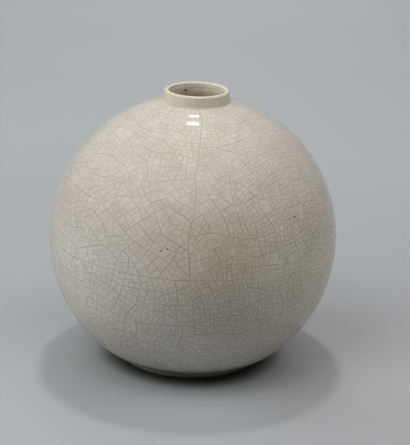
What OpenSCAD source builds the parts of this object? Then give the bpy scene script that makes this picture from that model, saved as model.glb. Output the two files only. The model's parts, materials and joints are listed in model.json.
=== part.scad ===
// Globe vase of glazed clay: two luted half globes, a collar, a foot ring and two coats of glaze.
// Millimetres, +Z up, the foot stands on z = 0 and the axis is Z.

/* [Globe] */
// Outside diameter of the globe, over the glaze
globe_d = 220; // [190:1:260]
// Thickness of the clay wall
wall = 5; // [3.5:0.1:7]
// Angle below the equator where the underside starts to turn in
turn_angle = 47; // [44:0.5:54]
// Radius of the turned-in underside, over the glaze
turn_r = 42; // [36:0.5:46]

/* [Foot] */
// Outside diameter of the foot, over the glaze
foot_d = 111; // [100:1:122]
// Height of the foot wall, from the table to the crease under the globe
foot_h = 5.8; // [2.4:0.1:8]
// Width of the foot ring
foot_w = 8; // [5:0.5:12]
// Bevel on the lower edges of the foot ring
foot_bevel = 0.8; // [0.4:0.1:1]
// Depth to which the foot ring is let into the base
foot_seat = 3; // [2:0.1:5]
// Thickness of the clay floor above the foot ring
base_t = 6; // [4:0.1:9]

/* [Neck] */
// Diameter of the mouth, inside the glaze
mouth_d = 41.4; // [34:0.2:50]
// Thickness of the collar at the lip, glaze included
collar_wall = 3.8; // [3:0.1:6]
// How much further the collar stands out at its foot than at its lip
collar_flare = 0.7; // [0:0.1:3]
// Height of the lip above the crease where the collar meets the globe
collar_rise = 8.6; // [7:0.1:14]
// Thickness of the ledge in the dome that the collar sits on
collar_ledge = 1.7; // [1:0.1:2.4]

/* [Glaze] */
// Thickness of the outer glaze
glaze_t = 0.8; // [0.5:0.1:1.2]
// Thickness of the glaze inside
liner_t = 0.5; // [0.3:0.1:0.8]
// Radius of the glaze that has pooled where the collar meets the globe
collar_cove = 1.6; // [1:0.1:4]
// Radius of the glaze that has pooled where the globe meets the foot
foot_cove = 1; // [0.5:0.1:1.4]
// Bare clay between the foot's bevel and the edge of the glaze
bare_band = 0.2; // [0.1:0.1:0.4]

/* [Equator joint] */
// Width of the ridge that keys the dome to the bowl
key_w = 2.4; // [1.6:0.1:3]
// Height of the ridge
key_h = 1.2; // [0.6:0.1:2]

/* [Hidden] */
$fn = 180;
far = 2 * globe_d;
// Depth to which a cove's circle cuts into the faces that it joins, so that it meets them at clean edges
cove_bite = 0.02;

// Places where pieces meet are kept to a thousandth of a millimetre, so that both pieces have the same value
function fine(v) = round(v * 1000) / 1000;
function fine_place(p) = [fine(p.x), fine(p.y)];

globe_r = globe_d / 2;
foot_r = foot_d / 2;
mouth_r = mouth_d / 2;
collar_r = mouth_r + collar_wall;
collar_foot_r = collar_r + collar_flare;

// Centre of the turned-in arc, from the globe's centre
turn_off = globe_r - turn_r;
turn_x = fine(turn_off * cos(turn_angle));
turn_drop = fine(turn_off * sin(turn_angle));

// Depth of the turned-in underside below the globe's centre, for a surface that lies in from the glaze
function under_drop(r, inset) = turn_drop + sqrt(pow(turn_r - inset, 2) - pow(r - turn_x, 2));
// Height of the shoulder above the globe's centre, for a surface that lies in from the glaze
function shoulder_rise(r, inset) = sqrt(pow(globe_r - inset, 2) - pow(r, 2));

centre_h = fine(foot_h + under_drop(foot_r, 0));
crease_z = fine(centre_h + shoulder_rise(collar_foot_r, 0));
rim_h = crease_z + collar_rise;

// Clay surfaces under the glaze
foot_clay_r = foot_r - glaze_t;
collar_clay_r = collar_r - glaze_t;
collar_foot_clay_r = collar_foot_r - glaze_t;
bore_clay_r = mouth_r + liner_t;
base_z = fine(centre_h - under_drop(foot_clay_r, glaze_t) + foot_seat);
floor_z = base_z + base_t;
hollow_inset = glaze_t + wall;
seat_z = fine(centre_h + shoulder_rise(bore_clay_r, hollow_inset) + collar_ledge);

// The lip is a half round on the collar, and the clay's own half round has its centre at the same height
lip_r = collar_wall / 2;
lip_z = fine(rim_h - lip_r);

// Directions out from the collar's wall and up along it
wall_lean = atan2(collar_flare, lip_z - crease_z);
wall_out = [cos(wall_lean), sin(wall_lean)];
wall_up = [-sin(wall_lean), cos(wall_lean)];

// Centres of the coves, each tangent to the two faces that it joins
globe_c = [0, centre_h];
collar_cove_out = ([collar_r, lip_z] - globe_c) * wall_out + collar_cove;
collar_cove_up = shoulder_rise(collar_cove_out, -collar_cove);
collar_cove_c = fine_place(globe_c + collar_cove_out * wall_out + collar_cove_up * wall_up);
foot_cove_x = foot_r + foot_cove;
foot_cove_c = [foot_cove_x, fine(centre_h - under_drop(foot_cove_x, -foot_cove))];

// Lower edge of the outer glaze, which ends in a round bead
edge_z = foot_bevel + bare_band;
bead_r = glaze_t / 2;

// Filled half outlines, with x as the radius and y as the height

// A rectangle from the axis out to r, between two heights
module disc(r, z0, z1) {
  translate([0, z0])
    square([r, z1 - z0]);
}

// The globe with its turned-in underside, which carries on tangentially below the turn angle
module globe(inset) {
  translate(globe_c)
    rotate(-turn_angle) {
      intersection() {
        circle(globe_r - inset);
        translate([-far, 0])
          square([2 * far, far]);
      }
      intersection() {
        translate([turn_off, 0])
          circle(turn_r - inset);
        translate([-far, -far])
          square([2 * far, far]);
      }
    }
}

// The globe, right of the axis, with a flat base of radius r at height z
module based_globe(inset, r, z) {
  difference() {
    intersection() {
      union() {
        globe(inset);
        disc(r, z, centre_h);
      }
      disc(far, -far, far);
    }
    disc(r, -far, z);
  }
}

// The hollow of the globe, right of the axis, above a flat floor
module hollow_globe(inset, z) {
  intersection() {
    union() {
      globe(inset);
      disc(turn_x, z, centre_h);
    }
    disc(far, z, far);
  }
}

// Half round on top of a ring between two radii
module half_round(r0, r1) {
  r = (r1 - r0) / 2;
  intersection() {
    translate([r0 + r, lip_z])
      circle(r);
    disc(far, lip_z, far);
  }
}

module clay_outline() {
  based_globe(glaze_t, foot_clay_r, base_z);
}

module clay_hollow() {
  hollow_globe(hollow_inset, floor_z);
  disc(bore_clay_r, centre_h, far);
}

module glazed_hollow() {
  hollow_globe(hollow_inset + liner_t, floor_z + liner_t);
  disc(mouth_r, centre_h, far);
}

// Ridge on the bowl's rim, halfway through the wall, and the groove in the dome
module key() {
  x = globe_r - glaze_t - wall / 2;
  polygon([[x - key_w / 2, centre_h], [x + key_w / 2, centre_h], [x, centre_h + key_h]]);
}

module collar_outline() {
  polygon([
    [bore_clay_r, seat_z],
    [collar_foot_clay_r, seat_z],
    [collar_foot_clay_r, crease_z],
    [collar_clay_r, lip_z],
    [bore_clay_r, lip_z]
  ]);
  half_round(bore_clay_r, collar_clay_r);
}

module foot_outline() {
  r0 = foot_clay_r - foot_w;
  polygon([
    [r0, base_z],
    [r0, foot_bevel],
    [r0 + foot_bevel, 0],
    [foot_clay_r - foot_bevel, 0],
    [foot_clay_r, foot_bevel],
    [foot_clay_r, base_z]
  ]);
}

// Glaze on the foot wall, down to its bead
module foot_coat() {
  bead_z = edge_z + bead_r;
  disc(foot_r, bead_z, base_z);
  intersection() {
    translate([foot_r - bead_r, bead_z])
      circle(bead_r);
    disc(far, 0, bead_z);
  }
}

// The glazed collar below the lip, filled down to the globe's centre
module collar_coat() {
  polygon([globe_c, [collar_foot_r, crease_z], [collar_r, lip_z], [0, lip_z]]);
}

// Glaze fills the corner between the collar and the shoulder, less the collar's cove
module collar_corner() {
  polygon([globe_c, collar_cove_c, collar_cove_c - 2 * collar_cove * wall_out]);
}

// Glaze fills the corner between the underside and the foot wall, less the foot's cove
module foot_corner() {
  polygon([[0, foot_cove_c.y], foot_cove_c, [turn_x, centre_h - turn_drop], [0, centre_h - turn_drop]]);
}

module glazed_outline() {
  difference() {
    union() {
      based_globe(0, foot_clay_r, base_z);
      collar_coat();
      collar_corner();
      foot_corner();
      foot_coat();
    }
    translate(collar_cove_c)
      circle(collar_cove + cove_bite);
    translate(foot_cove_c)
      circle(foot_cove + cove_bite);
  }
  half_round(mouth_r, collar_r);
}

// Pieces

module lower_bowl() {
  color("#b9ab97")
    rotate_extrude() {
      difference() {
        intersection() {
          clay_outline();
          disc(far, 0, centre_h);
        }
        clay_hollow();
      }
      key();
    }
}

module upper_dome() {
  color("#b9ab97")
    rotate_extrude()
      difference() {
        intersection() {
          clay_outline();
          disc(far, centre_h, far);
        }
        clay_hollow();
        disc(collar_foot_clay_r, seat_z, far);
        key();
      }
}

module neck_collar() {
  color("#b3a48e")
    rotate_extrude()
      collar_outline();
}

module foot_ring() {
  color("#a8977f")
    rotate_extrude()
      foot_outline();
}

module outer_glaze() {
  color("#cfc9bd")
    rotate_extrude()
      difference() {
        glazed_outline();
        clay_outline();
        collar_outline();
        disc(bore_clay_r, 0, lip_z);
        disc(mouth_r, 0, far);
        disc(foot_clay_r, 0, base_z);
      }
}

module inner_glaze() {
  color("#a69a86")
    rotate_extrude()
      difference() {
        intersection() {
          clay_hollow();
          disc(far, 0, lip_z);
        }
        glazed_hollow();
      }
}

lower_bowl();
upper_dome();
neck_collar();
foot_ring();
outer_glaze();
inner_glaze();
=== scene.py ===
"""Looks of the globe vase: a crackled outer glaze, a thrown and glazed inside, bare clay under the foot."""
import json
import math
import random

import bpy
from mathutils import Matrix, Vector, noise


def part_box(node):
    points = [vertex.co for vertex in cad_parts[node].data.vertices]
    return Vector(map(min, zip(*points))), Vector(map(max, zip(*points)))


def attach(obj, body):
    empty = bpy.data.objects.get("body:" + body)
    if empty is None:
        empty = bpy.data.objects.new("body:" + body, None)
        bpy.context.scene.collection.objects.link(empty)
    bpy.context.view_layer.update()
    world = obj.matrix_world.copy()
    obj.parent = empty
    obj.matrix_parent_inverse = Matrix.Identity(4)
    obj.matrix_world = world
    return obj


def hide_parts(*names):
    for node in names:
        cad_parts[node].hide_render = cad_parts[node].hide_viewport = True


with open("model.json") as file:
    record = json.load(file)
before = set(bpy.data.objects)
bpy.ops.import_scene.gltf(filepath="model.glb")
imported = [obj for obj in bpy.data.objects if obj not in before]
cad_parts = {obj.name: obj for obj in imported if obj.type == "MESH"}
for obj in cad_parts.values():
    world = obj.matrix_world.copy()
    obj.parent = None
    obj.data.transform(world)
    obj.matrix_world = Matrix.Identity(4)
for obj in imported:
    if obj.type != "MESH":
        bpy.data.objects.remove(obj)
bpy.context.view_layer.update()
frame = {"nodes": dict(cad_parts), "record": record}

TAU = 2 * math.pi
MM = 0.001


def reach(node):
    """How far a round solid reaches from the axis."""
    low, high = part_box(node)
    return max(-low.x, -low.y, high.x, high.y)


def unit(angle):
    """A direction in the plane of the profile, by its angle from the horizontal."""
    return Vector((math.cos(angle), math.sin(angle)))


def srgb(*levels):
    """A colour by screen levels from 0 to 255, or higher for a tint that brightens."""
    shares = [level / 255 for level in levels]
    linear = [x / 12.92 if x <= 0.04045 else ((x + 0.055) / 1.055) ** 2.4 for x in shares]
    return (*linear, 1.0)


# Sizes of the solids, in metres, read from the frame
GLOBE_R = reach("outer_glaze")
EDGE_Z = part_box("outer_glaze")[0].z
RIM_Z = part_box("outer_glaze")[1].z
CENTRE_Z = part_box("upper_dome")[0].z
CENTRE = Vector((0, 0, CENTRE_Z))
FOOT_CLAY_R = reach("foot_ring")
COLLAR_FOOT_CLAY_R = reach("neck_collar")
HOLLOW_CLAY_R = reach("inner_glaze")
FLOOR_CLAY_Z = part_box("inner_glaze")[0].z
MOUTH_R = MM * next(m for m in frame["record"]["mounts"] if m["name"] == "mouth")["dims"]["r_mm"]

# Other sizes that the solids were made with
GLAZE_T = 0.8 * MM
LINER_T = 0.5 * MM
TURN_ANGLE = math.radians(-47)
TURN_R = 42 * MM
COLLAR_FLARE = 0.7 * MM
COLLAR_COVE = 1.6 * MM
FOOT_COVE = 1 * MM

# Places that follow from them, as (distance from the axis, height)
FOOT_R = FOOT_CLAY_R + GLAZE_T
COLLAR_FOOT_R = COLLAR_FOOT_CLAY_R + GLAZE_T
COLLAR_R = COLLAR_FOOT_R - COLLAR_FLARE
COLLAR_CLAY_R = COLLAR_R - GLAZE_T
BORE_CLAY_R = MOUTH_R + LINER_T
LIP_R = (COLLAR_R - MOUTH_R) / 2
LIP_Z = RIM_Z - LIP_R
BEAD_R = GLAZE_T / 2
GLOBE_C = Vector((0, CENTRE_Z))
TURN_C = GLOBE_C + (GLOBE_R - TURN_R) * unit(TURN_ANGLE)


def height_on(centre, radius, r):
    """Rise of a circle of the profile above its centre, at distance r from the axis."""
    return math.sqrt(radius ** 2 - (r - centre.x) ** 2)


def bearing(start, end):
    """Angle from the horizontal of the way from one place to another."""
    return math.atan2(end.y - start.y, end.x - start.x)


# The collar's wall leans in, from its crease on the globe up to the lip
CREASE_Z = CENTRE_Z + height_on(GLOBE_C, GLOBE_R, COLLAR_FOOT_R)
WALL_TOP = Vector((COLLAR_R, LIP_Z))
WALL_LEAN = math.atan2(COLLAR_FLARE, LIP_Z - CREASE_Z)
WALL_OUT = unit(WALL_LEAN)
WALL_UP = WALL_OUT.orthogonal()

# The coves, each tangent to the two faces that it joins
COLLAR_COVE_OUT = (WALL_TOP - GLOBE_C).dot(WALL_OUT) + COLLAR_COVE
COLLAR_COVE_UP = math.sqrt((GLOBE_R + COLLAR_COVE) ** 2 - COLLAR_COVE_OUT ** 2)
COLLAR_COVE_C = GLOBE_C + COLLAR_COVE_OUT * WALL_OUT + COLLAR_COVE_UP * WALL_UP
FOOT_COVE_R = FOOT_R + FOOT_COVE
FOOT_COVE_C = Vector((FOOT_COVE_R, TURN_C.y - height_on(TURN_C, TURN_R + FOOT_COVE, FOOT_COVE_R)))

# The crackled skin runs from the foot's cove up to the collar's cove
SKIN_START = bearing(TURN_C, FOOT_COVE_C)
SKIN_END = bearing(GLOBE_C, COLLAR_COVE_C)
TURN_LEN = TURN_R * (TURN_ANGLE - SKIN_START)
SKIN_LEN = TURN_LEN + GLOBE_R * (SKIN_END - TURN_ANGLE)

# The crackle
SEED = 11
PRIMARY_COUNT = 21
# Places of the main cracks differ by these shares of the way to the next one
PRIMARY_SHIFT = 0.28
PRIMARY_SWAY = 0.2
PRIMARY_BENDS = 12
PRIMARY_STRENGTHS = (0.35, 0.75)
CELL_AREA = 19 * MM ** 2
LARGE_CELL_AREA = 46 * MM ** 2
LARGE_CELLS_AT = Vector((-50 * MM, -80 * MM, CENTRE_Z + 30 * MM))
LARGE_CELLS_REACH = 115 * MM
# Cells are this many times as large at the back as at the front
BACK_CELLS = 1.8
# Sizes differ by these shares from patch to patch and from cell to cell
PATCH_SIZE = 30 * MM
PATCH_SPREAD = 0.4
CELL_SPREAD = (0.6, 1.5)
# Cracks run upright and level, but for a grain that turns from patch to patch
GRAIN_SIZE = 60 * MM
GRAIN_TURN = 1.1
# About one place they run slantwise: pixel, reach, share of the reach over which that fades, and turn
SLANT_AT = (163.0, 240.0)
SLANT_REACH = 48 * MM
SLANT_FADE = 0.5
SLANT_TURN = 0.75
# A crack crosses a cell near its middle, partly square to the cell's own length, and leans a little
OWN_WAY = 0.4
LEAN = 0.16
OFF_MIDDLE = 0.15
CUT_TRIES = 5
# Long cracks have a bend in them
BENT_FROM = 8.5 * MM
BEND = 0.09
STRENGTHS = (0.55, 0.92)
# Share of it that the shortest cracks have, and the number of cuts to full strength
SHORT_KEPT = 0.64
FULL_CUTS = 5
LEVEL_STRENGTHS = (0.45, 0.75)
# A crack ends on no edge shorter than this, and no closer than this to a corner
LEAST_EDGE = 1.5 * MM
LEAST_GAP = 0.7 * MM
# Least size of a cell, as twice its area over its outline
LEAST_THICK = 1.1 * MM
# Half the width of the groove of the weakest and of the strongest crack
NARROW_HALF = 0.46 * MM
WIDE_HALF = 0.7 * MM
# Most of a cell's width that a groove takes, and its reach into a sharp corner in widths of its own
GROOVE_SHARE = 0.33
CORNER_REACH = 2.0
# A corner that turns less is straight, and none moves further than this share of the way to the middle
STRAIGHT_TURN = 0.2
MIDDLE_SHARE = 0.45
# Where an edge of a cell would keep less than this share of its length, its ends go back part of the way
EDGE_KEPT = 0.2
BACK_SHARE = 0.6
BACK_ROUNDS = 8
# Depth of the strongest groove, steps along the borders, and columns of the coat's clay side
GROOVE_DEPTH = 0.07 * MM
BORDER_STEP = 2.2 * MM
CLAY_COLUMNS = 96
# No two cells lie quite level: lean of their normals
CELL_TILT = 0.0004
# All cracks wander with two waves, a slow one and a quick one: size and shift
SLOW_WAVE = (55 * MM, 4.5 * MM)
QUICK_WAVE = (13 * MM, 1.3 * MM)
WAVE_FADE = 12 * MM
UNWARP_ROUNDS = 8
# Share of its strength that a crack keeps at each step onto the collar and the foot, and the least to go on
CRACK_KEPT = 0.8
CRACK_GOES_ON = 0.88

# Throwing marks inside: their pitch in the throat and below it, and their height
THROAT_LEN = LIP_Z - (CENTRE_Z + height_on(GLOBE_C, HOLLOW_CLAY_R - LINER_T, MOUTH_R))
THROAT_PITCH = 2.6 * MM
HOLLOW_PITCH = 7 * MM
THROW_HEIGHT = 0.16 * MM
# Shares of that height in the spiral and in its unevenness, and how quickly that changes
THROW_SPIRAL = 0.6
THROW_UNEVEN = 0.9
THROW_CHANGE = 0.4
# The marks fade this close to the lip and to the axis
THROW_LIP_FADE = 1 * MM
THROW_AXIS_FADE = 20 * MM
# Steps along the throat, the globe, its turned-in part and the floor, on the bare and on the clay side
LINER_COLUMNS = 128
BARE_STEPS = (30, 90, 7, 30)
CLAY_STEPS = (6, 36, 3, 12)
# A ring smaller than this is one point, and an edge that turns more than this is sharp
AXIS_R = 0.001 * MM
SHARP_ANGLE = math.radians(40)

# The photograph: its frame, where the globe's centre falls in it, and the camera that sees it there
PHOTO_W, PHOTO_H = 410, 445
GLOBE_PIXEL = (192.8, 234.8)
FOCAL_PX = 1572
SENSOR = 36
CAMERA_DISTANCE = 1.211
CAMERA_TILT_DEG = 19.7
CAMERA_ROLL_DEG = 1.68

# Pixels along the long crack down the front, and one on the level crack just above the joint of the halves
MAIN_CRACK = [
    (200.0, 112.0), (200.0, 145.0), (198.0, 160.0), (195.5, 180.0), (195.5, 200.0), (194.5, 212.0),
    (191.5, 224.0), (189.0, 238.0), (188.5, 250.0), (190.0, 276.0), (192.0, 300.0), (195.0, 330.0),
]
MAIN_STRENGTH = 0.86
LEVEL_CRACK = (200.0, 281.0)

# Iron specks in the glaze: pixel and radius, and the share of it that is darkest
SPECKS = [
    ((294.7, 216.5), 1.0 * MM),
    ((160.4, 250.8), 0.7 * MM),
    ((167.3, 249.4), 0.7 * MM),
    ((119.6, 273.3), 0.6 * MM),
    ((245.0, 165.0), 0.6 * MM),
]
SPECK_CORE = 0.5
SPECK_COLOUR = srgb(45, 38, 30)

# One more in the throat: pixel, and the distances between which it fades
THROAT_SPECK = (185.6, 90.4)
THROAT_SPECK_SPAN = (0.34 * MM, 1.87 * MM)
THROAT_SPECK_COLOUR = srgb(120, 98, 72)

# Changes of tone in the glaze, and patches of painted light and painted shade: pixel at the middle, reach
# and tint, and the share of the reach that is full
TONE_AND_LIGHT_PATCHES = [
    # a warm, darker change of tone in the glaze
    ((240.0, 250.0), 34 * MM, srgb(249, 246, 236)),
    # painted shade, low on the right
    ((220.0, 307.0), 50 * MM, srgb(242, 241, 238)),
    # a warm, darker change of tone in the glaze
    ((195.0, 262.0), 58 * MM, srgb(251, 248, 241)),
    # painted light: the globe lighter high on the right, low on the left, at the right edge, at the bottom,
    # and warmer and lighter on the right
    ((215.0, 150.0), 62 * MM, srgb(264, 263, 262)),
    ((72.0, 280.0), 54 * MM, srgb(268, 270, 270)),
    ((322.0, 280.0), 46 * MM, srgb(266, 266, 265)),
    ((195.0, 360.0), 45 * MM, srgb(262, 262, 261)),
    ((316.0, 258.0), 95 * MM, srgb(259, 258, 248)),
]
PATCH_CORE = 0.2

# A span gives the heights, or the distances from the axis, between which a colour comes in or fades.
# Clouds have a size, a detail and the levels of noise between which they come in.

# The outer glaze
GLAZE_COLOUR = srgb(213, 207, 196)
GLAZE_WARM = srgb(216, 209, 198)
GLAZE_CLOUDS = (70 * MM, 2, 0.35, 0.65)
MOTTLE_TINT = srgb(247, 247, 245)
MOTTLE_CLOUDS = (12 * MM, 3, 0.3, 0.7)
CELL_TINT = srgb(247, 247, 246)
# It is darker below the joint of the halves, a change of tone in the glaze; towards the foot and at its own
# bottom edge the darkening is painted shade, under the globe and where the foot meets the floor: tint and
# heights
LOW_TONE_AND_SHADE = [
    (srgb(251, 251, 250), CENTRE_Z - 6 * MM, CENTRE_Z + 6 * MM),
    # painted shade under the globe's turned-in underside, towards the foot
    (srgb(205, 204, 202), 9 * MM, 20 * MM),
    # painted shade at the glaze's bottom edge, next to the floor
    (srgb(140, 138, 134), EDGE_Z, EDGE_Z + 1.6 * MM),
]
# It has pooled on the collar, between the cove and the lip
POOL_COLOUR = srgb(221, 214, 193)
POOL_LOW_SPAN = (CREASE_Z, CREASE_Z + 1 * MM)
POOL_HIGH_SPAN = (LIP_Z - 1 * MM, LIP_Z + 1 * MM)
LIP_COLOUR = srgb(221, 215, 199)
LIP_SPAN = (LIP_Z - 0.5 * MM, LIP_Z + 1 * MM)
# Painted shade on the lip's inner edge, where it turns into the throat
INNER_LIP_SHADE = srgb(214, 205, 186)
INNER_LIP_SPAN = (MOUTH_R, MOUTH_R + 0.7 * MM)
# The stain in the cracks weakens to this share high on the globe
STAIN_TINT = srgb(166, 158, 145)
STAIN_SPAN = (CENTRE_Z - 20 * MM, CENTRE_Z + 85 * MM)
HIGH_STAIN = 0.7
# The cracks are darker about a place on the right: pixel, reach and how much darker
DARK_CRACKS_AT = (290.0, 208.0)
DARK_CRACKS_REACH = 66 * MM
DARK_CRACKS = 0.3
# Hair cracks within the cells: size of the parts, shares of it between which a line fades, and strength
HAIR_SIZE = 4.2 * MM
HAIR_WIDTH = (0.02, 0.14)
HAIR_STRENGTH = 0.2
# Roughness of the glaze, what a crack adds to it, and faint waves in the gloss
GLAZE_ROUGH = 0.05
CRACK_ROUGH = 0.3
PEEL_SIZE = 6 * MM
PEEL_HEIGHT = 0.002 * MM

# The glaze inside, in level bands, which is paler in the throat: partly the outer glaze run in over the
# lip, partly painted light on the throat's shaded wall
LINER_THIN = srgb(180, 168, 148)
LINER_THICK = srgb(200, 190, 173)
LINER_BANDS = (30 * MM, 3, 0.3, 0.7, (1, 1, 12))
LINER_ROUGH = (0.3, 0.45)
LINER_TINT = srgb(226, 222, 214)
LINER_CLOUDS = (5 * MM, 3, 0.35, 0.7)
# Painted light in part: the throat's pale colours also lift its shaded wall
THROAT_COLOUR = srgb(243, 230, 208)
THROAT_MOTTLE = srgb(232, 217, 193)
THROAT_SPAN = (LIP_Z - 8 * MM, LIP_Z - 1.5 * MM)

# The clay: dark grog where the grit is coarse, turning rings, and painted shade on the foot's outer bevel,
# next to the floor
CLAY_COLOUR = srgb(176, 158, 132)
CLAY_PALE = srgb(196, 180, 154)
CLAY_CLOUDS = (20 * MM, 3, 0.3, 0.7)
CLAY_ROUGH = 0.82
CLAY_RELIEF = 0.15 * MM
GRIT_SIZE = 1.2 * MM
GROG_COLOUR = srgb(112, 92, 70)
GROG_LEVELS = (0.66, 0.72)
RING_SIZE = 1.6 * MM
RING_STRETCH = (0.02, 0.02, 1)
# painted shade on the foot's outer bevel, where it meets the floor
BEVEL_SHADE_TINT = srgb(96, 90, 82)
BEVEL_LOW_SPAN = (0.8 * MM, 1.8 * MM)
BEVEL_OUTER_SPAN = (FOOT_CLAY_R - 1.4 * MM, FOOT_CLAY_R - 0.6 * MM)

# Lamps: name, degrees above the horizon, degrees to the right of the front, width and watts
LAMPS = [
    ("top_lamp", 75, 180, 0.15, 8.2),
    ("back_lamp", 25, 180, 1.2, 9.7),
    ("left_lamp", 25, 270, 1.2, 12.6),
    ("right_lamp", 42, 90, 1.2, 6.9),
    ("front_right_lamp", 62, 45, 1.2, 7.2),
    ("front_left_lamp", 62, 315, 1.2, 8.9),
    ("low_left_lamp", 42, 315, 1.2, 8.4),
]
LAMP_DISTANCE = 1.9
# Small lamps that the gloss shows: pixel at the middle of the reflection, size and watts
GLINTS = [
    ((194.0, 116.2), (0.17, 0.06), 0.6),
    ((193.0, 123.5), (0.21, 0.1), 1.2),
]
WORLD_COLOUR = srgb(205, 208, 210)
WORLD_FILL = 0.05
WORLD_SHOWN = 0.45

# The floor is a round sheet of paper
FLOOR_R = 6.0
FLOOR_COLUMNS = 96
PAPER_COLOUR = srgb(167, 171, 174)
PAPER_PALE = srgb(169, 173, 176)
PAPER_CLOUDS = (500 * MM, 2, 0.3, 0.7)
PAPER_ROUGH = 0.7
# Painted shade: it is darker behind the vase, and darker, with a warmer cast of painted light, in front of
# it on the right: places across and along
FLOOR_BACK_FROM = (-0.06, 0.1)
FLOOR_BACK_TO = (0.3, 0.6)
FLOOR_BACK_SHADE = srgb(247, 247, 247)
FLOOR_RIGHT = (0.02, 0.12)
FLOOR_FRONT = (-0.12, -0.03)
FLOOR_FRONT_SHADE = srgb(241, 241, 241)
FLOOR_WARM = (0.05, 0.2)
FLOOR_WARM_LIGHT = srgb(260, 255, 255)
# Painted shadow: it is darker close round the foot
FLOOR_NEAR_SPAN = (FOOT_CLAY_R, FOOT_CLAY_R + 21 * MM)
FLOOR_CONTACT_SHADE = srgb(118, 118, 117)
# Far off, where little light falls, it shows the same level as the surround
FLOOR_FAR_SPAN = (1.45, 2.5)

# Facing of an arc with a hollow surface, and the sockets of a Mix node for colours
HOLLOW = -1
MIX_SHARE, MIX_A, MIX_B, MIX_RESULT = 0, 6, 7, 2


def smooth_step(x):
    """0 below 0, 1 above 1 and smooth between."""
    x = min(max(x, 0), 1)
    return x * x * (3 - 2 * x)


def mix(a, b, share):
    """The value that lies a share of the way from a to b."""
    return a + (b - a) * share


def skin(climb):
    """Station (distance from the axis, height, normal outwards, normal upwards) on the skin."""
    if climb < TURN_LEN:
        angle = SKIN_START + climb / TURN_R
        centre, radius = TURN_C, TURN_R
    else:
        angle = TURN_ANGLE + (climb - TURN_LEN) / GLOBE_R
        centre, radius = GLOBE_C, GLOBE_R
    c, s = math.cos(angle), math.sin(angle)
    return centre.x + radius * c, centre.y + radius * s, c, s


def round_axis(angle, out, up):
    """A vector out from the axis and up; angle 0 is the front, and it grows to the right."""
    return Vector((out * math.sin(angle), -out * math.cos(angle), up))


def on_station(angle, station, depth=0.0):
    """A point of the surface at a station, or under it."""
    r, z, out, up = station
    return round_axis(angle, r - depth * out, z - depth * up)


def arc(centre, radius, start, stop, steps, facing=1):
    """Stations along an arc of the profile; facing is HOLLOW where its surface faces the centre."""
    stations = []
    for i in range(steps + 1):
        angle = mix(start, stop, i / steps)
        c, s = math.cos(angle), math.sin(angle)
        stations.append((centre.x + radius * c, centre.y + radius * s, facing * c, facing * s))
    return stations


def straight(start, end, steps):
    """Stations along a straight stretch of the profile, whose surface faces to the right."""
    way = (end - start).normalized()
    stations = []
    for i in range(steps + 1):
        place = start.lerp(end, i / steps)
        stations.append((place.x, place.y, way.y, -way.x))
    return stations


def pairs(items):
    """Each item with the one after it, round to the first."""
    return list(zip(items, items[1:] + items[:1]))


def edge_key(a, b):
    """One name for an edge, whichever way it is walked."""
    return (a, b) if a < b else (b, a)


def wrapped(angle):
    """The same angle, between minus and plus half a turn."""
    return (angle + math.pi) % TAU - math.pi


class CrackNet:
    """Cells of glaze as loops of corners (angle, climb), and the strength of the crack along each edge."""

    def __init__(self):
        self.corners = []
        self.loops = {}
        self.beside = {}
        self.strength = {}
        self.made = 0

    def corner(self, angle, climb):
        self.corners.append((angle, climb))
        return len(self.corners) - 1

    def add(self, loop):
        """A new cell, with its corners anticlockwise as seen from outside."""
        cell = self.made
        self.made += 1
        self.loops[cell] = loop
        for edge in pairs(loop):
            self.beside[edge] = cell
        return cell

    def flat(self, cell, corners):
        """The cell's corners laid flat, the angle and climb that they are measured from, and the radius."""
        places = [corners[c] for c in self.loops[cell]]
        angle, climb = places[0]
        middle = sum(p[1] for p in places) / len(places)
        radius = skin(middle)[0]
        return [Vector((radius * wrapped(a - angle), c - climb)) for a, c in places], angle, climb, radius

    def split_edge(self, a, b, share):
        """A new corner on the edge from a to b, given to the cells on both sides."""
        (angle, climb), (far_angle, far_climb) = self.corners[a], self.corners[b]
        new = self.corner(angle + share * wrapped(far_angle - angle), mix(climb, far_climb, share))
        strength = self.strength.pop(edge_key(a, b))
        self.strength[edge_key(a, new)] = strength
        self.strength[edge_key(new, b)] = strength
        for start, end in ((a, b), (b, a)):
            cell = self.beside.pop((start, end), None)
            if cell is not None:
                loop = self.loops[cell]
                loop.insert(loop.index(start) + 1, new)
                self.beside[start, new] = cell
                self.beside[new, end] = cell
        return new

    def bend(self, a, b, rng):
        """Moves the middle of a crack off the straight line, if it is long."""
        (angle, climb), (far_angle, far_climb) = self.corners[a], self.corners[b]
        radius = skin((climb + far_climb) / 2)[0]
        way = Vector((radius * wrapped(far_angle - angle), far_climb - climb))
        if way.length < BENT_FROM:
            return
        middle = self.split_edge(a, b, 0.5)
        angle, climb = self.corners[middle]
        shift = BEND * rng.uniform(-1, 1)
        self.corners[middle] = (angle - shift * way.y / radius, climb + shift * way.x)

    def cut(self, cell, a, b, strength):
        """Parts a cell along a crack between two of its corners."""
        loop = self.loops.pop(cell)
        i, j = sorted((loop.index(a), loop.index(b)))
        self.strength[edge_key(a, b)] = strength
        return [self.add(loop[i:j + 1]), self.add(loop[j:] + loop[:i + 1])]


def primary(angle, gap, rng):
    """A main crack up the skin, swaying about a bearing."""
    angle += gap * rng.uniform(-PRIMARY_SHIFT, PRIMARY_SHIFT)
    places = []
    for i in range(PRIMARY_BENDS + 1):
        sway = gap * rng.uniform(-PRIMARY_SWAY, PRIMARY_SWAY)
        places.append((angle + sway, SKIN_LEN * i / PRIMARY_BENDS))
    return places


def main_crack():
    """The long crack down the front, upwards, so that it comes to its pixels once it is warped."""
    places = [unwarp(*skin_place(seen_at(*pixel))) for pixel in reversed(MAIN_CRACK)]
    return [(places[0][0], 0.0)] + places + [(places[-1][0], SKIN_LEN)]


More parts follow.
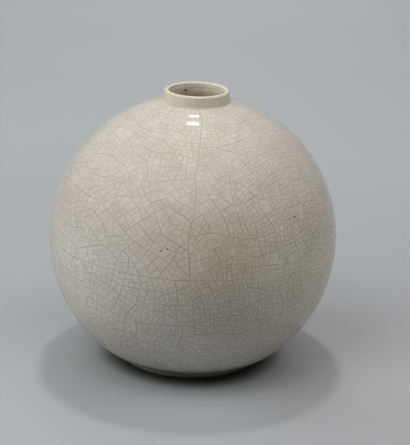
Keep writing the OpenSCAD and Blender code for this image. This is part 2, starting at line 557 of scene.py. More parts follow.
def add_level(places, level):
    """Puts the place where the level crack crosses into a main crack, and returns its index."""
    after = next(k for k, place in enumerate(places) if place[1] > level)
    (angle, climb), (far_angle, far_climb) = places[after - 1], places[after]
    angle += wrapped(far_angle - angle) * (level - climb) / (far_climb - climb)
    places.insert(after, (angle, unwarp(angle, level)[1]))
    return after


def start_net(rng):
    """The main cracks, from the foot to the collar, and the strips between them, cut at the level crack."""
    net = CrackNet()
    gap = TAU / PRIMARY_COUNT
    level = skin_place(seen_at(*LEVEL_CRACK))[1]
    lines, crossed = [], []
    for i in range(PRIMARY_COUNT):
        places = primary(i * gap, gap, rng) if i else main_crack()
        at = add_level(places, level)
        line = [net.corner(angle, climb) for angle, climb in places]
        for k, edge in enumerate(zip(line, line[1:])):
            strength = rng.uniform(*PRIMARY_STRENGTHS)
            net.strength[edge_key(*edge)] = strength if i or k < at else MAIN_STRENGTH
        lines.append(line)
        crossed.append(line[at])
    for (left, right), ends in zip(pairs(lines), pairs(crossed)):
        net.strength[edge_key(left[0], right[0])] = 0.0
        net.strength[edge_key(left[-1], right[-1])] = 0.0
        strip = net.add([left[0]] + right + left[:0:-1])
        net.cut(strip, *ends, rng.uniform(*LEVEL_STRENGTHS))
    return net


def shape_of(points):
    """Area, centroid and direction of the long axis of a loop."""
    area = 0.0
    centroid = Vector((0, 0))
    for p, q in pairs(points):
        cross = p.x * q.y - p.y * q.x
        area += cross / 2
        centroid += (p + q) * cross / 6
    centroid /= area
    xx = yy = xy = 0.0
    for p, q in pairs(points):
        weight = (q - p).length
        offset = (p + q) / 2 - centroid
        xx += weight * offset.x ** 2
        yy += weight * offset.y ** 2
        xy += weight * offset.x * offset.y
    return area, centroid, 0.5 * math.atan2(2 * xy, xx - yy)


def crossings(points, through, along):
    """The edges on either side of a point that a line through it meets, as (edge, share along it)."""
    across = along.orthogonal()
    behind = ahead = None
    for i, (p, q) in enumerate(pairs(points)):
        side_p, side_q = (p - through).dot(across), (q - through).dot(across)
        if side_p * side_q >= 0:
            continue
        share = side_p / (side_p - side_q)
        way = (p.lerp(q, share) - through).dot(along)
        if way > 0 and (ahead is None or way < ahead[0]):
            ahead = (way, i, share)
        if way <= 0 and (behind is None or way > behind[0]):
            behind = (way, i, share)
    if behind is None or ahead is None:
        return None
    return behind[1:], ahead[1:]


def grain(place):
    """Direction that the cracks about a place keep to."""
    slant = smooth_step((1 - (place - seen_at(*SLANT_AT)).length / SLANT_REACH) / SLANT_FADE)
    return mix(GRAIN_TURN * noise.noise(place / GRAIN_SIZE), SLANT_TURN, slant)


def thickness(points):
    """Twice the area of a loop over its length: about its width, if it is long and narrow."""
    return 2 * shape_of(points)[0] / sum((q - p).length for p, q in pairs(points))


def halves(points, ends):
    """The two loops into which a cut parts a cell."""
    (i, share_i), (j, share_j) = sorted(ends)
    start = points[i].lerp(points[i + 1], share_i)
    end = points[j].lerp(points[(j + 1) % len(points)], share_j)
    return points[i + 1:j + 1] + [end, start], points[j + 1:] + points[:i + 1] + [start, end]


def compactness(points):
    """How near a loop is to a square or a disc, from 0 for a line."""
    return thickness(points) / math.sqrt(shape_of(points)[0])


def pick_cut(points, way, rng):
    """A line across a cell that keeps to a grain, as the two edges that it meets, or None."""
    _, centroid, axis = shape_of(points)
    along_axis = unit(axis)
    along = [(p - centroid).dot(along_axis) for p in points]
    across = axis + math.pi / 2
    square = way + math.pi / 2 * round((across - way) / (math.pi / 2))
    turn = mix(square, across, OWN_WAY) + rng.gauss(0, LEAN)
    through = centroid + along_axis * rng.uniform(-OFF_MIDDLE, OFF_MIDDLE) * (max(along) - min(along))
    found = crossings(points, through, unit(turn))
    if found is None:
        return None
    ends = []
    for i, share in found:
        length = (points[(i + 1) % len(points)] - points[i]).length
        if length < LEAST_EDGE:
            return None
        margin = LEAST_GAP / length
        ends.append((i, min(max(share, margin), 1 - margin)))
    if min(thickness(half) for half in halves(points, ends)) < LEAST_THICK:
        return None
    return ends


def cell_target(place, rng):
    """Area at which a cell is left whole: uneven, and larger high on the front and at the back."""
    nearness = smooth_step(1 - (place - LARGE_CELLS_AT).length / LARGE_CELLS_REACH)
    behind = mix(1, BACK_CELLS, smooth_step(0.5 + place.y / GLOBE_R))
    patchy = 1 + PATCH_SPREAD * noise.noise(place / PATCH_SIZE)
    return mix(CELL_AREA, LARGE_CELL_AREA, nearness) * behind * patchy * rng.uniform(*CELL_SPREAD)


def crack_up(net, rng):
    """Parts the cells again and again until each is small enough for its place."""
    todo = list(net.loops)
    while todo:
        cell = todo.pop()
        points, angle, climb, radius = net.flat(cell, net.corners)
        area, centroid, _ = shape_of(points)
        place = on_station(angle + centroid.x / radius, skin(climb + centroid.y))
        target = cell_target(place, rng)
        if area < target:
            continue
        way = grain(place)
        tries = [pick_cut(points, way, rng) for _ in range(CUT_TRIES)]
        found = [ends for ends in tries if ends]
        if not found:
            continue
        ends = max(found, key=lambda ends: min(compactness(half) for half in halves(points, ends)))
        loop = list(net.loops[cell])
        new = [net.split_edge(loop[i], loop[(i + 1) % len(loop)], share) for i, share in ends]
        length_share = smooth_step(math.log2(area / target) / FULL_CUTS)
        strength = rng.uniform(*STRENGTHS) * mix(SHORT_KEPT, 1, length_share)
        todo += net.cut(cell, *new, strength)
        net.bend(*new, rng)


def step_borders(net):
    """Adds corners along the two borders, so that the rings that go on from them are round."""
    borders = [edge for edge in net.beside if edge[::-1] not in net.beside]
    for a, b in borders:
        angle, climb = net.corners[a]
        length = skin(climb)[0] * abs(wrapped(net.corners[b][0] - angle))
        steps = math.ceil(length / BORDER_STEP)
        start = a
        for left in range(steps, 1, -1):
            start = net.split_edge(start, b, 1 / left)


def warp(angle, climb):
    """Bends the straight cracks: a smooth shift along the skin, which dies out at its borders."""
    station = skin(climb)
    place = on_station(angle, station)
    shift = Vector((0, 0, 0))
    for size, most in (SLOW_WAVE, QUICK_WAVE):
        shift += most * noise.noise_vector(place / size)
    fade = smooth_step(min(climb, SKIN_LEN - climb) / WAVE_FADE)
    return angle + fade * shift.x / station[0], climb + fade * shift.y


def unwarp(angle, climb):
    """The place that warp brings to a given one."""
    guess = (angle, climb)
    for _ in range(UNWARP_ROUNDS):
        came = warp(*guess)
        guess = (guess[0] + angle - came[0], guess[1] + climb - came[1])
    return guess


def skin_place(point):
    """The angle and climb of a point on the globe."""
    angle = math.atan2(point.x, -point.y)
    rise = math.asin((point.z - CENTRE_Z) / GLOBE_R)
    return angle, TURN_LEN + GLOBE_R * (rise - TURN_ANGLE)


def half_width(strength):
    """Half the width of a crack's groove, 0 at a border."""
    return mix(NARROW_HALF, WIDE_HALF, strength) if strength else 0.0


def inset(points, widths):
    """The corners of a loop moved in, by its own width from each edge."""
    count = len(points)
    centre = sum(points, Vector((0, 0))) / count
    moved = []
    for i, p in enumerate(points):
        before = (p - points[i - 1]).normalized()
        after = (points[(i + 1) % count] - p).normalized()
        turn = before.x * after.y - before.y * after.x
        if abs(turn) < STRAIGHT_TURN:
            across = Vector((-before.y - after.y, before.x + after.x)) / 2
            shift = across * (widths[i - 1] + widths[i]) / 2
        else:
            shift = (after * widths[i - 1] - before * widths[i]) / turn
        most = min(MIDDLE_SHARE * (p - centre).length, CORNER_REACH * max(widths[i - 1], widths[i]))
        if shift.length > most:
            shift *= most / shift.length
        moved.append(p + shift)
    return unfold(points, moved)


def unfold(points, moved):
    """Moves corners back where an edge has turned round or almost vanished."""
    for _ in range(BACK_ROUNDS):
        for i, (p, q) in enumerate(pairs(points)):
            j = (i + 1) % len(points)
            if (moved[j] - moved[i]).dot(q - p) < EDGE_KEPT * (q - p).length_squared:
                moved[i] = p.lerp(moved[i], BACK_SHARE)
                moved[j] = q.lerp(moved[j], BACK_SHARE)
    return moved


def link(name, data):
    """A new object in the scene."""
    thing = bpy.data.objects.new(name, data)
    bpy.context.scene.collection.objects.link(thing)
    return thing


class Coat:
    """A mesh in the making: points, faces, and for each face corner a normal, a crack and a tone."""

    def __init__(self):
        self.points = []
        self.faces = []
        self.normals = []
        self.cracks = []
        self.tones = []

    def point(self, place):
        self.points.append(place)
        return len(self.points) - 1

    def face(self, corners, normals, cracks, tone=0.5):
        self.faces.append(corners)
        self.normals += normals
        self.cracks += cracks
        self.tones += [tone] * len(corners)

    def plain_face(self, corners):
        """A face with its own flat normal and no cracks."""
        a, b, c = (self.points[i] for i in corners[:3])
        normal = (b - a).cross(c - a).normalized()
        self.face(corners, [normal] * len(corners), [0.0] * len(corners))

    def build(self, name):
        """The finished object."""
        mesh = bpy.data.meshes.new(name)
        mesh.from_pydata(self.points, [], self.faces)
        for title, values in (("crack", self.cracks), ("tone", self.tones)):
            layer = mesh.attributes.new(title, "FLOAT", "CORNER")
            layer.data.foreach_set("value", values)
        mesh.polygons.foreach_set("use_smooth", [True] * len(self.faces))
        mesh.normals_split_custom_set(self.normals)
        mesh.validate()
        return link(name, mesh)


class Crackle(Coat):
    """A coat with the cells and grooves of a net, and rings along its borders as (angle, point, crack)."""

    def __init__(self, net):
        super().__init__()
        self.net = net
        self.places = [warp(*corner) for corner in net.corners]
        self.stations = [skin(climb) for _, climb in self.places]
        self.rings = {0.0: {}, SKIN_LEN: {}}
        sunk = [0.0] * len(self.places)
        for edge, strength in net.strength.items():
            for corner in edge:
                sunk[corner] = max(sunk[corner], strength)
        self.bottoms = []
        for (angle, _), station, share in zip(self.places, self.stations, sunk):
            self.bottoms.append(self.point(on_station(angle, station, GROOVE_DEPTH * share)))

    def add_cell(self, cell, rng):
        """A cell, and its side of the grooves round it."""
        loop = self.net.loops[cell]
        points, angle, climb, radius = self.net.flat(cell, self.places)
        strengths = [self.net.strength[edge_key(*edge)] for edge in pairs(loop)]
        widest = GROOVE_SHARE * thickness(points)
        widths = [min(half_width(strength), widest) for strength in strengths]
        lean = Vector([rng.gauss(0, 1) for _ in range(3)]) * CELL_TILT
        tone = rng.random()
        rim = []
        for i, p in enumerate(inset(points, widths)):
            beside_border = 0.0 in (strengths[i - 1], strengths[i])
            rim.append(self.rim_corner(loop[i], angle + p.x / radius, climb + p.y, beside_border, lean))
        self.face([point for point, _ in rim], [normal for _, normal in rim], [0.0] * len(rim), tone)
        for edge, ends, strength in zip(pairs(loop), pairs(rim), strengths):
            if strength:
                self.groove_side(edge, ends, strength, tone)

    def rim_corner(self, corner, angle, climb, beside_border, lean):
        """A corner of a cell as (point, normal), kept on the border if an edge beside it lies there."""
        border = self.places[corner][1]
        on_border = beside_border and border in self.rings
        station = skin(border if on_border else climb)
        point = self.point(on_station(angle, station))
        if on_border:
            self.rings[border][point] = (angle % TAU, point, 0.0)
        return point, (round_axis(angle, *station[2:]) + lean).normalized()

    def groove_side(self, edge, ends, strength, tone):
        """The slope from the bottom of a groove up to the edge of a cell."""
        (near, near_normal), (far, far_normal) = ends
        bottom = [self.bottoms[corner] for corner in edge]
        normals = [round_axis(self.places[corner][0], *self.stations[corner][2:]) for corner in edge]
        cracks = [strength, strength, 0.0, 0.0]
        self.face(bottom + [far, near], normals + [far_normal, near_normal], cracks, tone)
        for corner, point in zip(edge, bottom):
            angle, climb = self.places[corner]
            if climb in self.rings:
                self.rings[climb][point] = (angle % TAU, point, strength)


def sweep(coat, ring, stations, down=False):
    """Carries a ring along stations, from the one where it lies, and returns the last ring."""
    for start, end in zip(stations, stations[1:]):
        new = []
        for angle, _, crack in ring:
            kept = crack * CRACK_KEPT if start != stations[0] or crack > CRACK_GOES_ON else 0.0
            new.append((angle, coat.point(on_station(angle, end, GROOVE_DEPTH * kept)), kept))
        for (a, b), (c, d) in zip(pairs(ring), pairs(new)):
            corners = [(a, start), (b, start), (d, end), (c, end)]
            if down:
                corners.reverse()
            angles, points, cracks = zip(*(column for column, _ in corners))
            normals = [round_axis(angle, *station[2:]) for angle, (_, station) in zip(angles, corners)]
            coat.face(points, normals, cracks)
        ring = new
    return ring


def zip_rings(coat, lower, upper):
    """Triangles between two rings that have different columns."""
    low = lower + [(lower[0][0] + TAU, lower[0][1])]
    up = upper + [(upper[0][0] + TAU, upper[0][1])]
    i = j = 0
    while i < len(lower) or j < len(upper):
        if j == len(upper) or (i < len(lower) and low[i + 1][0] <= up[j + 1][0]):
            coat.plain_face([low[i][1], low[i + 1][1], up[j][1]])
            i += 1
        else:
            coat.plain_face([low[i][1], up[j + 1][1], up[j][1]])
            j += 1


def foot_stations():
    """The foot's cove, its wall and the bead of glaze, downwards."""
    bead_z = EDGE_Z + BEAD_R
    cove = arc(FOOT_COVE_C, FOOT_COVE, SKIN_START + math.pi, math.pi, steps=4, facing=HOLLOW)
    wall = [(FOOT_R, bead_z, 1, 0)]
    bead = arc(Vector((FOOT_R - BEAD_R, bead_z)), BEAD_R, 0, -math.pi, steps=6)
    return cove + wall + bead[1:]


def collar_stations():
    """The collar's cove, its wall and the round lip, upwards and over."""
    cove_end = math.pi + WALL_LEAN
    cove = arc(COLLAR_COVE_C, COLLAR_COVE, SKIN_END + math.pi, cove_end, steps=6, facing=HOLLOW)
    wall = straight(COLLAR_COVE_C - COLLAR_COVE * WALL_OUT, WALL_TOP, steps=2)
    lip = arc(Vector((MOUTH_R + LIP_R, LIP_Z)), LIP_R, 0, math.pi, steps=12)
    return cove + wall[1:] + lip[1:]


def clay_side_stations():
    """The coat's own underside, which lies on the clay, from the lip down to the foot."""
    lip_c = Vector(((BORE_CLAY_R + COLLAR_CLAY_R) / 2, LIP_Z))
    radius = GLOBE_R - GLAZE_T
    turn_r = TURN_R - GLAZE_T
    shoulder = Vector((COLLAR_FOOT_CLAY_R, CENTRE_Z + height_on(GLOBE_C, radius, COLLAR_FOOT_CLAY_R)))
    crease = Vector((FOOT_CLAY_R, TURN_C.y - height_on(TURN_C, turn_r, FOOT_CLAY_R)))
    lip = arc(lip_c, COLLAR_CLAY_R - lip_c.x, math.pi, 0, steps=8, facing=HOLLOW)
    wall = straight(Vector((COLLAR_CLAY_R, LIP_Z)), Vector((COLLAR_FOOT_CLAY_R, CREASE_Z)), steps=1)
    globe = arc(GLOBE_C, radius, bearing(GLOBE_C, shoulder), TURN_ANGLE, steps=24, facing=HOLLOW)
    turn = arc(TURN_C, turn_r, TURN_ANGLE, bearing(TURN_C, crease), steps=6, facing=HOLLOW)
    end = Vector((FOOT_CLAY_R, mix(EDGE_Z + BEAD_R, crease.y, 0.5)))
    return lip + wall[1:] + globe + turn[1:] + straight(crease, end, steps=1)[1:]


def make_outer_glaze():
    """The crackled coat: skin, collar and lip outside, the foot's bead below, and its clay side within."""
    noise.seed_set(SEED)
    rng = random.Random(SEED)
    net = start_net(rng)
    crack_up(net, rng)
    step_borders(net)
    coat = Crackle(net)
    for cell in sorted(net.loops):
        coat.add_cell(cell, rng)
    foot, collar = (sorted(ring.values()) for ring in coat.rings.values())
    bead = sweep(coat, foot, foot_stations(), down=True)
    lip = sweep(coat, collar, collar_stations())
    stations = clay_side_stations()
    clay_ring = []
    for i in range(CLAY_COLUMNS):
        angle = TAU * i / CLAY_COLUMNS
        clay_ring.append((angle, coat.point(on_station(angle, stations[0])), 0.0))
    zip_rings(coat, lip, clay_ring)
    zip_rings(coat, sweep(coat, clay_ring, stations), bead)
    return coat.build("outer_glaze_crackle")


def hollow_stations(thick, steps):
    """A side of the glaze inside, thick over the clay, from the lip down to the middle of the floor."""
    throat_steps, globe_steps, turn_steps, floor_steps = steps
    radius = HOLLOW_CLAY_R - thick
    turn_r = radius - (GLOBE_R - TURN_R)
    bore_r = BORE_CLAY_R - thick
    floor_z = FLOOR_CLAY_Z + thick
    throat_end = Vector((bore_r, CENTRE_Z + height_on(GLOBE_C, radius, bore_r)))
    floor_angle = -math.asin((TURN_C.y - floor_z) / turn_r)
    throat = straight(Vector((bore_r, LIP_Z)), throat_end, throat_steps)
    globe = arc(GLOBE_C, radius, bearing(GLOBE_C, throat_end), TURN_ANGLE, globe_steps, HOLLOW)
    turn = arc(TURN_C, turn_r, TURN_ANGLE, floor_angle, turn_steps, HOLLOW)
    floor = straight(TURN_C + turn_r * unit(floor_angle), Vector((0, floor_z)), floor_steps)
    return throat + globe[1:] + turn[1:] + floor[1:]


def thrown(angle, walked):
    """How far a thrown wall stands proud: a spiral of finger marks, uneven along its way."""
    pitch = mix(THROAT_PITCH, HOLLOW_PITCH, smooth_step(walked / THROAT_LEN))
    wave = math.cos(TAU * walked / pitch - angle)
    uneven = noise.noise(Vector((math.sin(angle), math.cos(angle), THROW_CHANGE * walked / pitch)))
    return THROW_HEIGHT * (THROW_SPIRAL * wave + THROW_UNEVEN * uneven)


def liner_ring(points, station, walked, relief):
    """Adds a ring of points, or one point on the axis, and returns their indices."""
    start = len(points)
    if station[0] < AXIS_R:
        points.append(on_station(0.0, station))
        return [start] * LINER_COLUMNS
    fade = smooth_step(walked / THROW_LIP_FADE) * smooth_step(station[0] / THROW_AXIS_FADE)
    for i in range(LINER_COLUMNS):
        angle = TAU * i / LINER_COLUMNS
        proud = thrown(angle, walked) * fade if relief else 0.0
        points.append(on_station(angle, station, -proud))
    return list(range(start, len(points)))


def make_inner_glaze():
    """The glaze inside as a closed coat, with throwing marks on its bare side."""
    clay_side = hollow_stations(0.0, CLAY_STEPS)[::-1]
    bare_side = hollow_stations(LINER_T, BARE_STEPS)
    points, rings, faces = [], [], []
    for stations, relief in ((clay_side, False), (bare_side, True)):
        walked = 0.0
        last = stations[0]
        for station in stations:
            walked += math.dist(station[:2], last[:2])
            last = station
            rings.append(liner_ring(points, station, walked, relief))
    for lower, upper in zip(rings, rings[1:]):
        for (a, b), (c, d) in zip(pairs(lower), pairs(upper)):
            faces.append(tuple(dict.fromkeys((a, b, d, c))))
    mesh = bpy.data.meshes.new("inner_glaze_thrown")
    mesh.from_pydata(points, [], faces)
    mesh.polygons.foreach_set("use_smooth", [True] * len(faces))
    mesh.set_sharp_from_angle(angle=SHARP_ANGLE)
    mesh.validate()
    return link("inner_glaze_thrown", mesh)


class Nodes:
    """A node tree, with short ways to add nodes to it."""

    def __init__(self, tree):
        self.tree = tree

    def put(self, socket, value):
        """Links a socket to another, or gives it a plain value."""
        if isinstance(value, bpy.types.NodeSocket):
            self.tree.links.new(value, socket)
        else:
            socket.default_value = value

    def add(self, kind, inputs=(), **settings):
        """The outputs of a new node, whose inputs are given by name or number."""
        node = self.tree.nodes.new(kind)
        for key, value in settings.items():
            setattr(node, key, value)
        for key, value in dict(inputs).items():
            self.put(node.inputs[key], value)
        return node.outputs

    def math(self, operation, *values):
        return self.add("ShaderNodeMath", enumerate(values), operation=operation)[0]

    def both(self, a, b):
        return self.math("MULTIPLY", a, b)

    def ramp(self, value, low, high, at_low=0.0, at_high=1.0):
        """A smooth change from one value to another as the input goes from low to high."""
        inputs = enumerate((value, low, high, at_low, at_high))
        return self.add("ShaderNodeMapRange", inputs, interpolation_type="SMOOTHSTEP")["Result"]

    def fall(self, value, low, high):
        """A smooth change from 1 to 0 as the input goes from low to high."""
        return self.ramp(value, low, high, 1.0, 0.0)

    def plainly_seen(self):
        """1 for what the camera sees straight, in gloss or through glass, and 0 for mere light."""
        path = self.add("ShaderNodeLightPath")
        seen = self.math("MAXIMUM", path["Is Camera Ray"], path["Is Glossy Ray"])
        return self.math("MAXIMUM", seen, path["Is Transmission Ray"])


class Paint(Nodes):
    """A material, and the colour that has been mixed for it so far."""

    def __init__(self, name, colour):
        self.material = bpy.data.materials.new(name)
        self.material.use_nodes = True
        super().__init__(self.material.node_tree)
        self.colour = colour
        self.place = self.add("ShaderNodeTexCoord")["Object"]
        self.across, self.along, self.height = self.add("ShaderNodeSeparateXYZ", {0: self.place})
        level = self.add("ShaderNodeCombineXYZ", {"X": self.across, "Y": self.along})[0]
        self.radius = self.add("ShaderNodeVectorMath", {0: level}, operation="LENGTH")["Value"]

    def attribute(self, name):
        return self.add("ShaderNodeAttribute", attribute_name=name)["Fac"]

    def noise(self, size, detail, stretch=(1, 1, 1)):
        """Noise from 0 to 1 with features of about a size in metres."""
        place = self.add("ShaderNodeMapping", {"Vector": self.place, "Scale": stretch})[0]
        inputs = {"Vector": place, "Scale": 1 / size, "Detail": detail}
        return self.add("ShaderNodeTexNoise", inputs)["Fac"]

    def clouds(self, size, detail, low, high, stretch=(1, 1, 1)):
        """Soft patches of 0 and 1, which change where noise goes from low to high."""
        return self.ramp(self.noise(size, detail, stretch), low, high)

    def edges(self, size, shift):
        """Distance to the edges of irregular parts, as a share of their size; each shift has its own."""
        place = self.add("ShaderNodeVectorMath", {0: self.place, 1: shift}, operation="ADD")[0]
        inputs = {"Vector": place, "Scale": 1 / size}
        return self.add("ShaderNodeTexVoronoi", inputs, feature="DISTANCE_TO_EDGE")["Distance"]

    def near(self, centre, inner, outer):
        """1 near a place, fading to 0 further off."""
        way = self.add("ShaderNodeVectorMath", {0: self.place, 1: centre}, operation="DISTANCE")
        return self.fall(way["Value"], inner, outer)

    def bump(self, height, distance):
        return self.add("ShaderNodeBump", {"Height": height, "Distance": distance})["Normal"]

    def blend(self, share, a, b, kind="MIX"):
        """Colour a mixed with colour b."""
        inputs = {MIX_SHARE: share, MIX_A: a, MIX_B: b}
        return self.add("ShaderNodeMix", inputs, data_type="RGBA", blend_type=kind)[MIX_RESULT]

    def cover(self, share, colour):
        """Lays a colour over what has been mixed so far."""
        self.colour = self.blend(share, self.colour, colour)

    def tint(self, share, colour):
        """Multiplies what has been mixed so far by a colour."""
        self.colour = self.blend(share, self.colour, colour, "MULTIPLY")

    def finish(self, **inputs):
        """Gives the shader the colour and other inputs, whose names have underscores for spaces."""
        shader = self.tree.nodes["Principled BSDF"]
        for name, value in dict(inputs, Base_Color=self.colour).items():
            self.put(shader.inputs[name.replace("_", " ")], value)
        return self.material


def tint_globe(paint):
    """Changes of tone over the globe, painted shade down to the foot, and patches of tone, of painted light
    and of painted shade.
    """
    # the lower half's darker tone, then painted shade towards the foot and at the bottom edge
    for colour, low, high in LOW_TONE_AND_SHADE:
        paint.tint(paint.fall(paint.height, low, high), colour)
    # patches of glaze tone, of painted light and of painted shade
    for pixel, size, colour in TONE_AND_LIGHT_PATCHES:
        paint.tint(paint.near(seen_at(*pixel), PATCH_CORE * size, size), colour)
    paint.tint(paint.clouds(*MOTTLE_CLOUDS), MOTTLE_TINT)


def colour_collar(paint):
    """Pooled glaze on the collar, and the lip, with painted shade on its inner edge."""
    above_cove = paint.ramp(paint.height, *POOL_LOW_SPAN)
    below_lip = paint.fall(paint.height, *POOL_HIGH_SPAN)
    paint.cover(paint.both(above_cove, below_lip), POOL_COLOUR)
    lip = paint.ramp(paint.height, *LIP_SPAN)
    paint.cover(lip, LIP_COLOUR)
    # painted shade on the lip's inner edge
    paint.cover(paint.both(lip, paint.fall(paint.radius, *INNER_LIP_SPAN)), INNER_LIP_SHADE)


def stain_cracks(paint, crack, tone):
    """Stain in the cracks of the net and in finer hair cracks."""
    hair = paint.ramp(paint.edges(HAIR_SIZE, tone), *HAIR_WIDTH, HAIR_STRENGTH, 0.0)
    line = paint.math("MAXIMUM", crack, hair)
    stain = paint.both(line, paint.ramp(paint.height, *STAIN_SPAN, 1.0, HIGH_STAIN))
    darker = paint.near(seen_at(*DARK_CRACKS_AT), PATCH_CORE * DARK_CRACKS_REACH, DARK_CRACKS_REACH)
    stain = paint.both(stain, paint.ramp(darker, 0, 1, 1.0, 1 + DARK_CRACKS))
    paint.tint(stain, STAIN_TINT)


def crackle_paint():
    """Off-white gloss glaze with stained cracks, soft changes of tone and a few iron specks."""
    paint = Paint("crackle_glaze", GLAZE_COLOUR)
    crack = paint.attribute("crack")
    paint.cover(paint.clouds(*GLAZE_CLOUDS), GLAZE_WARM)
    tint_globe(paint)
    tone = paint.attribute("tone")
    paint.tint(tone, CELL_TINT)
    colour_collar(paint)
    stain_cracks(paint, crack, tone)
    for pixel, size in SPECKS:
        paint.cover(paint.near(seen_at(*pixel), SPECK_CORE * size, size), SPECK_COLOUR)
    rough = paint.math("MULTIPLY_ADD", crack, CRACK_ROUGH, GLAZE_ROUGH)
    peel = paint.bump(paint.noise(PEEL_SIZE, 1), PEEL_HEIGHT)
    return paint.finish(Roughness=rough, Normal=peel)


def liner_paint():
    """Thin satin glaze over throwing marks, browner where it is thin, and paler in the throat, partly as
    painted light.
    """
    paint = Paint("liner_glaze", LINER_THIN)
    bands = paint.clouds(*LINER_BANDS)
    paint.cover(bands, LINER_THICK)
    mottle = paint.clouds(*LINER_CLOUDS)
    paint.tint(mottle, LINER_TINT)
    # paler in the throat, partly painted light on its shaded wall
    pale = paint.ramp(paint.height, *THROAT_SPAN)
    paint.cover(pale, paint.blend(mottle, THROAT_COLOUR, THROAT_MOTTLE))
    speck = paint.near(seen_in_throat(*THROAT_SPECK), *THROAT_SPECK_SPAN)
    paint.cover(speck, THROAT_SPECK_COLOUR)
    return paint.finish(Roughness=paint.ramp(bands, 0, 1, *LINER_ROUGH))


def clay_paint():
    """Buff stoneware, turned on the wheel: fine rings, dark grog, and painted shade on the bevel under the
    foot.
    """
    paint = Paint("stoneware", CLAY_COLOUR)
    grit = paint.noise(GRIT_SIZE, 2)
    paint.cover(paint.clouds(*CLAY_CLOUDS), CLAY_PALE)
    paint.cover(paint.ramp(grit, *GROG_LEVELS), GROG_COLOUR)
    # painted shade on the foot's outer bevel, next to the floor
    low = paint.fall(paint.height, *BEVEL_LOW_SPAN)
    outer = paint.ramp(paint.radius, *BEVEL_OUTER_SPAN)
    paint.tint(paint.both(low, outer), BEVEL_SHADE_TINT)
    rings = paint.noise(RING_SIZE, 1, RING_STRETCH)
    normal = paint.bump(paint.math("ADD", grit, rings), CLAY_RELIEF)
    return paint.finish(Roughness=CLAY_ROUGH, Normal=normal)


def floor_paint():
    """Smooth grey paper, with painted shade behind the vase, on the right and close round the foot."""
    paint = Paint("studio_paper", PAPER_COLOUR)
    paint.cover(paint.clouds(*PAPER_CLOUDS), PAPER_PALE)
    # painted shade behind the vase and in front on the right, with a warmer cast of painted light
    behind = paint.ramp(paint.along, *FLOOR_BACK_FROM)
    paint.tint(paint.both(behind, paint.fall(paint.along, *FLOOR_BACK_TO)), FLOOR_BACK_SHADE)
    right = paint.ramp(paint.across, *FLOOR_RIGHT)
    paint.tint(paint.both(right, paint.fall(paint.along, *FLOOR_FRONT)), FLOOR_FRONT_SHADE)
    paint.tint(paint.both(right, paint.fall(paint.along, *FLOOR_WARM)), FLOOR_WARM_LIGHT)
    # painted contact shadow close round the foot
    paint.tint(paint.fall(paint.radius, *FLOOR_NEAR_SPAN), FLOOR_CONTACT_SHADE)
    far_off = paint.both(paint.ramp(paint.radius, *FLOOR_FAR_SPAN), paint.plainly_seen())
    paint.cover(far_off, srgb(0, 0, 0))
    shown = paint.both(far_off, WORLD_SHOWN)
    return paint.finish(Roughness=PAPER_ROUGH, Emission_Color=WORLD_COLOUR, Emission_Strength=shown)


def make_floor(material):
    """A round sheet of paper, far larger than the vase."""
    rim = [round_axis(TAU * i / FLOOR_COLUMNS, FLOOR_R, 0.0) for i in range(FLOOR_COLUMNS)]
    mesh = bpy.data.meshes.new("studio_floor")
    mesh.from_pydata(rim, [], [list(range(FLOOR_COLUMNS))])
    mesh.materials.append(material)
    floor = link("studio_floor", mesh)


def add_lamp(name, place, aim, size, power):
    """A rectangular softbox that looks at a point."""
    data = bpy.data.lights.new(name, "AREA")
    data.shape = "RECTANGLE"
    data.size, data.size_y = size
    data.energy = power
    lamp = link(name, data)
    lamp.location = place
    lamp.rotation_euler = (aim - place).to_track_quat("-Z", "Y").to_euler()
    lamp.visible_camera = False
    return lamp


def away(elevation_deg, bearing_deg):
    """A direction, by degrees above the horizon and degrees to the right of the front."""
    elevation = math.radians(elevation_deg)
    return round_axis(math.radians(bearing_deg), math.cos(elevation), math.sin(elevation))


def mirrored(pixel):
    """The point of the globe at a pixel, and the direction that it reflects to the camera."""
    point = seen_at(*pixel)
    normal = (point - CENTRE).normalized()
    return point, (point - camera_place()).normalized().reflect(normal)


def light_scene():
    """Soft lamps all round, which the gloss doesn't show, and two small ones that it does."""
    for name, elevation, turn, width, power in LAMPS:
        lamp = add_lamp(name, CENTRE + LAMP_DISTANCE * away(elevation, turn), CENTRE, (width, width), power)
        lamp.visible_glossy = False
    for i, (pixel, size, power) in enumerate(GLINTS):
        point, way = mirrored(pixel)
        add_lamp(f"glint_lamp_{i}", point + LAMP_DISTANCE * way, point, size, power)


def fill_world():
    """A pale surround that shows in full to the camera and in the gloss, and adds little light."""
    world = bpy.data.worlds.new("studio")
    world.use_nodes = True
    nodes = Nodes(world.node_tree)
    background = world.node_tree.nodes["Background"]
    nodes.put(background.inputs["Color"], WORLD_COLOUR)
    strength = nodes.ramp(nodes.plainly_seen(), 0, 1, WORLD_FILL, WORLD_SHOWN)
    nodes.put(background.inputs["Strength"], strength)
    bpy.context.scene.world = world


def camera_axes():
    """Right, up and forward of the camera."""
    tilt = math.radians(CAMERA_TILT_DEG)
    level_forward = Vector((0, math.cos(tilt), -math.sin(tilt)))
    level_right = Vector((1, 0, 0))
    level_up = level_right.cross(level_forward)
    roll = math.radians(CAMERA_ROLL_DEG)
    right = level_right * math.cos(roll) + level_up * math.sin(roll)
    up = level_up * math.cos(roll) - level_right * math.sin(roll)
    across = PHOTO_W / 2 - GLOBE_PIXEL[0]
    down = GLOBE_PIXEL[1] - PHOTO_H / 2
    forward = (level_forward + (right * across + up * down) / FOCAL_PX).normalized()
    right = (right - forward * right.dot(forward)).normalized()
    return right, right.cross(forward), forward


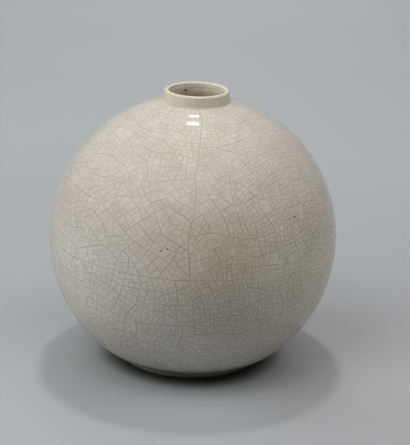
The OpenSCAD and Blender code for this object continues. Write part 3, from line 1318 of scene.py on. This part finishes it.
def camera_place():
    """Where the camera stands, in front of the globe's centre and above it."""
    tilt = math.radians(CAMERA_TILT_DEG)
    return Vector((0, -math.cos(tilt), math.sin(tilt))) * CAMERA_DISTANCE + CENTRE


def way_through(x, y):
    """The direction in which the camera looks at a pixel."""
    right, up, forward = camera_axes()
    return (forward * FOCAL_PX + right * (x - PHOTO_W / 2) + up * (PHOTO_H / 2 - y)).normalized()


def seen_in_throat(x, y):
    """The point at the back of the throat that the camera sees at a pixel."""
    way = way_through(x, y)
    start = camera_place()
    level_way, level_start = way.to_2d(), start.to_2d()
    along = -level_start.dot(level_way) / level_way.length_squared
    nearest = level_start + level_way * along
    half_chord = math.sqrt((MOUTH_R ** 2 - nearest.length_squared) / level_way.length_squared)
    return start + way * (along + half_chord)


def seen_at(x, y):
    """The point of the globe that the camera sees at a pixel."""
    way = way_through(x, y)
    start = camera_place() - CENTRE
    along = -start.dot(way)
    half_chord = math.sqrt(max(GLOBE_R ** 2 - start.length_squared + along ** 2, 0.0))
    return camera_place() + way * (along - half_chord)


def add_camera():
    """The photograph's camera; the sensor spans the longer side of the frame."""
    right, up, forward = camera_axes()
    data = bpy.data.cameras.new("camera")
    data.sensor_width = SENSOR
    data.lens = SENSOR * FOCAL_PX / PHOTO_H
    camera = link("camera", data)
    turn = Matrix((right, up, -forward)).transposed().to_4x4()
    camera.matrix_world = Matrix.Translation(camera_place()) @ turn
    bpy.context.scene.camera = camera


def dress(piece, node, material):
    """Puts a new piece in the place of a solid."""
    piece.data.materials.append(material)
    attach(piece, "root")
    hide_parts(node)


def repaint(node, material):
    """Gives a solid that stays a better material."""
    solid = frame["nodes"][node]
    solid.data.materials.clear()
    solid.data.materials.append(material)


dress(make_outer_glaze(), "outer_glaze", crackle_paint())
dress(make_inner_glaze(), "inner_glaze", liner_paint())
clay = clay_paint()
for node in ("lower_bowl", "upper_dome", "neck_collar", "foot_ring"):
    repaint(node, clay)
make_floor(floor_paint())
light_scene()
fill_world()
add_camera()
bpy.context.scene.view_settings.view_transform = "Standard"
